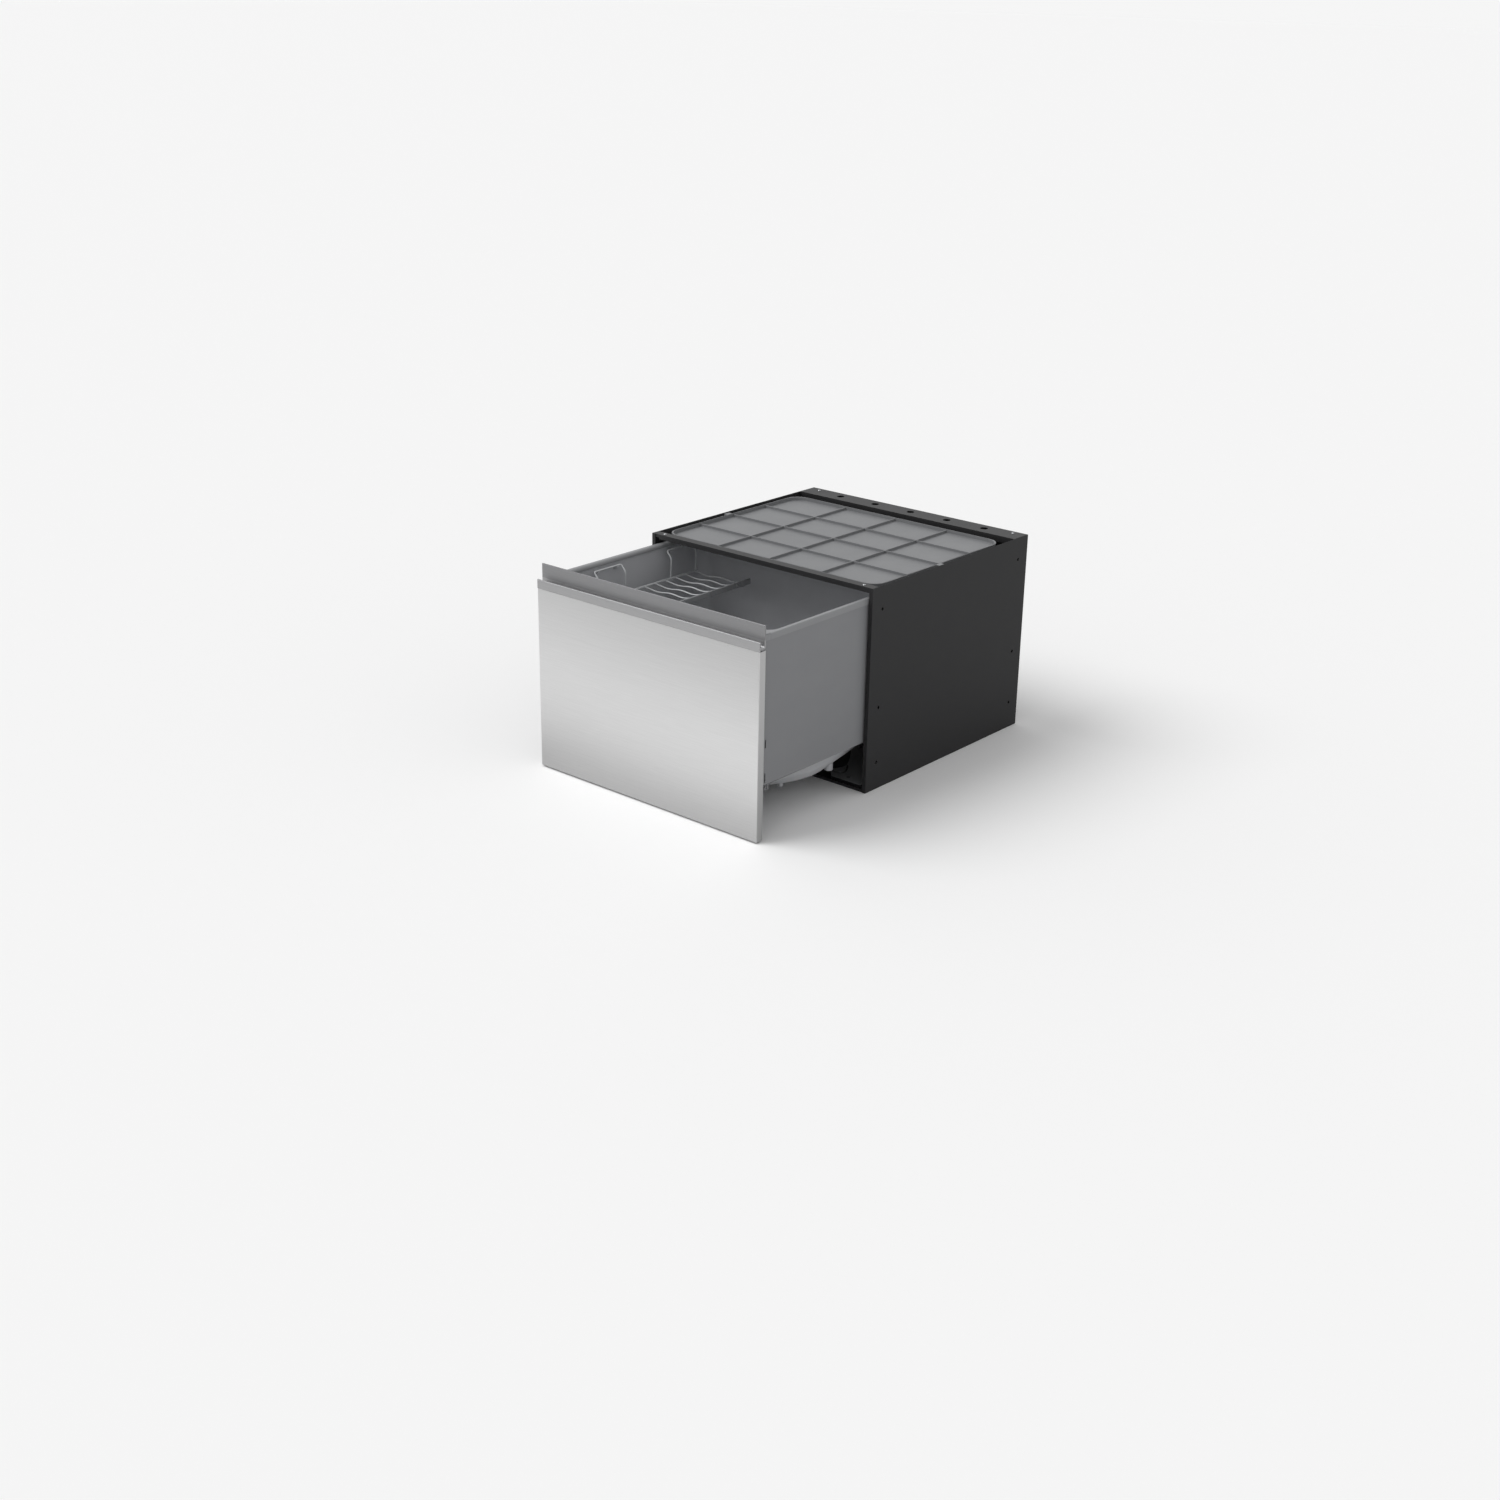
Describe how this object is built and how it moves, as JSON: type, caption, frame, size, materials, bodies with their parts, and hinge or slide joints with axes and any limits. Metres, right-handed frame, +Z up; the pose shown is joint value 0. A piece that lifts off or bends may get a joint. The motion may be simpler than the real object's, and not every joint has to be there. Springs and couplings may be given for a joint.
{
  "type": "dishwasher drawer",
  "caption": "Built-in dishwasher drawer: a grey tub on telescopic runners slides out of a dark steel chassis behind a brushed stainless front with a finger channel.",
  "frame": {"origin": "centre of the chassis base's underside, at floor level", "axes": "+X to the right seen from the front, +Y to the rear, +Z up; the drawer opens along -Y"},
  "size_m": [0.599, 0.914, 0.441],
  "materials": {
    "brushed_stainless": "fine horizontal brushing, satin",
    "tub_moulding": "moulded mid-grey polypropylene, satin",
    "rim_moulding": "moulded light-grey polypropylene, satin",
    "chassis_steel": "charcoal coated sheet steel, matte",
    "zinc_steel": "bright zinc-plated pressed steel",
    "rack_wire": "light-grey coated wire, satin",
    "dark_moulding": "dark-grey moulded plastic, matte",
    "pale_moulding": "off-white moulded plastic, satin",
    "motor_metal": "coated motor housing",
    "seal_rubber": "black moulded rubber, matte"
  },
  "bodies": {
    "chassis": {"side_panel_left": "chassis_steel", "side_panel_right": "chassis_steel", "base_pan": "chassis_steel", "rear_panel": "chassis_steel", "top_front_brace": "chassis_steel", "runner_shelf_left": "zinc_steel", "runner_shelf_right": "zinc_steel", "runner_outer_left": "zinc_steel", "runner_outer_right": "zinc_steel", "lid_actuator_left": "dark_moulding", "lid_actuator_right": "dark_moulding", "inlet_valve": "pale_moulding", "drain_connector": "dark_moulding", "terminal_box": "dark_moulding"},
    "lid": {"lid": "tub_moulding", "lid_seal": "seal_rubber", "lid_plunger_left": "pale_moulding", "lid_plunger_right": "pale_moulding"},
    "runner_middle_left": {"runner_middle_left": "zinc_steel"},
    "runner_middle_right": {"runner_middle_right": "zinc_steel"},
    "drawer": {"tub": "tub_moulding", "rim_frame": "rim_moulding", "side_skin_left": "tub_moulding", "side_skin_right": "tub_moulding", "support_rail_left": "zinc_steel", "support_rail_right": "zinc_steel", "runner_inner_left": "zinc_steel", "runner_inner_right": "zinc_steel", "front_panel": "brushed_stainless", "panel_backing": "zinc_steel", "handle_channel": "brushed_stainless", "control_strip": "rim_moulding", "control_module": "pale_moulding", "sump_housing": "dark_moulding", "wash_motor": "motor_metal", "drain_pump": "dark_moulding", "filter_plate": "zinc_steel", "drain_filter": "dark_moulding", "dispenser_body": "tub_moulding", "base_rack": "rack_wire", "rack_side_left": "rack_wire", "rack_side_right": "rack_wire", "rack_end_front": "rack_wire", "rack_end_rear": "rack_wire", "fixed_tines_left": "rack_wire", "fixed_tines_middle": "rack_wire", "fixed_tines_centre": "rack_wire", "rack_hanger_front": "rack_wire", "rack_hanger_rear": "rack_wire"},
    "spray_arm": {"spray_arm": "tub_moulding"},
    "dispenser_lid": {"dispenser_lid": "rim_moulding"},
    "cup_rack": {"cup_rack": "rack_wire", "cup_rack_edge": "tub_moulding"},
    "folding_tines_inner": {"folding_tines_inner": "rack_wire"},
    "folding_tines_outer": {"folding_tines_outer": "rack_wire"},
    "button_power": {"button_power": "dark_moulding"},
    "button_start": {"button_start": "dark_moulding"},
    "button_programme": {"button_programme": "dark_moulding"},
    "button_delay": {"button_delay": "dark_moulding"},
    "button_lock": {"button_lock": "dark_moulding"}
  },
  "joints": [
    {"name": "drawer_slide", "type": "slide", "parent": "chassis", "child": "drawer", "axis": [0, -1, 0], "range_m": [-0.325, 0.15]},
    {"name": "runner_left_slide", "type": "slide", "parent": "chassis", "child": "runner_middle_left", "axis": [0, -1, 0], "range_m": [-0.1625, 0.075]},
    {"name": "runner_right_slide", "type": "slide", "parent": "chassis", "child": "runner_middle_right", "axis": [0, -1, 0], "range_m": [-0.1625, 0.075]},
    {"name": "lid_lift", "type": "slide", "parent": "chassis", "child": "lid", "axis": [0, 0, -1], "range_m": [0, 0.0072]},
    {"name": "spray_arm_spin", "type": "hinge", "parent": "drawer", "child": "spray_arm", "pos_m": [0, -0.3515, 0.075], "axis": [0, 0, 1], "continuous": true},
    {"name": "dispenser_lid_swing", "type": "hinge", "parent": "drawer", "child": "dispenser_lid", "pos_m": [0.05, -0.54998, 0.3285], "axis": [0, 0, 1], "range_deg": [0, 100]},
    {"name": "cup_rack_fold", "type": "hinge", "parent": "drawer", "child": "cup_rack", "pos_m": [-0.254, -0.334, 0.344], "axis": [0, 1, 0], "range_deg": [0, 80]},
    {"name": "tines_inner_fold", "type": "hinge", "parent": "drawer", "child": "folding_tines_inner", "pos_m": [0.105, -0.3515, 0.0982], "axis": [0, -1, 0], "range_deg": [0, 80]},
    {"name": "tines_outer_fold", "type": "hinge", "parent": "drawer", "child": "folding_tines_outer", "pos_m": [0.205, -0.3515, 0.0982], "axis": [0, -1, 0], "range_deg": [0, 80]},
    {"name": "button_power_press", "type": "slide", "parent": "drawer", "child": "button_power", "axis": [0, 0, -1], "range_m": [0, 0.001], "stiffness_N_per_m": 400},
    {"name": "button_start_press", "type": "slide", "parent": "drawer", "child": "button_start", "axis": [0, 0, -1], "range_m": [0, 0.001], "stiffness_N_per_m": 400},
    {"name": "button_programme_press", "type": "slide", "parent": "drawer", "child": "button_programme", "axis": [0, 0, -1], "range_m": [0, 0.001], "stiffness_N_per_m": 400},
    {"name": "button_delay_press", "type": "slide", "parent": "drawer", "child": "button_delay", "axis": [0, 0, -1], "range_m": [0, 0.001], "stiffness_N_per_m": 400},
    {"name": "button_lock_press", "type": "slide", "parent": "drawer", "child": "button_lock", "axis": [0, 0, -1], "range_m": [0, 0.001], "stiffness_N_per_m": 400}
  ],
  "couplings": [
    {"joint": "runner_left_slide", "follows": "drawer_slide", "ratio": 0.5},
    {"joint": "runner_right_slide", "follows": "drawer_slide", "ratio": 0.5}
  ]
}
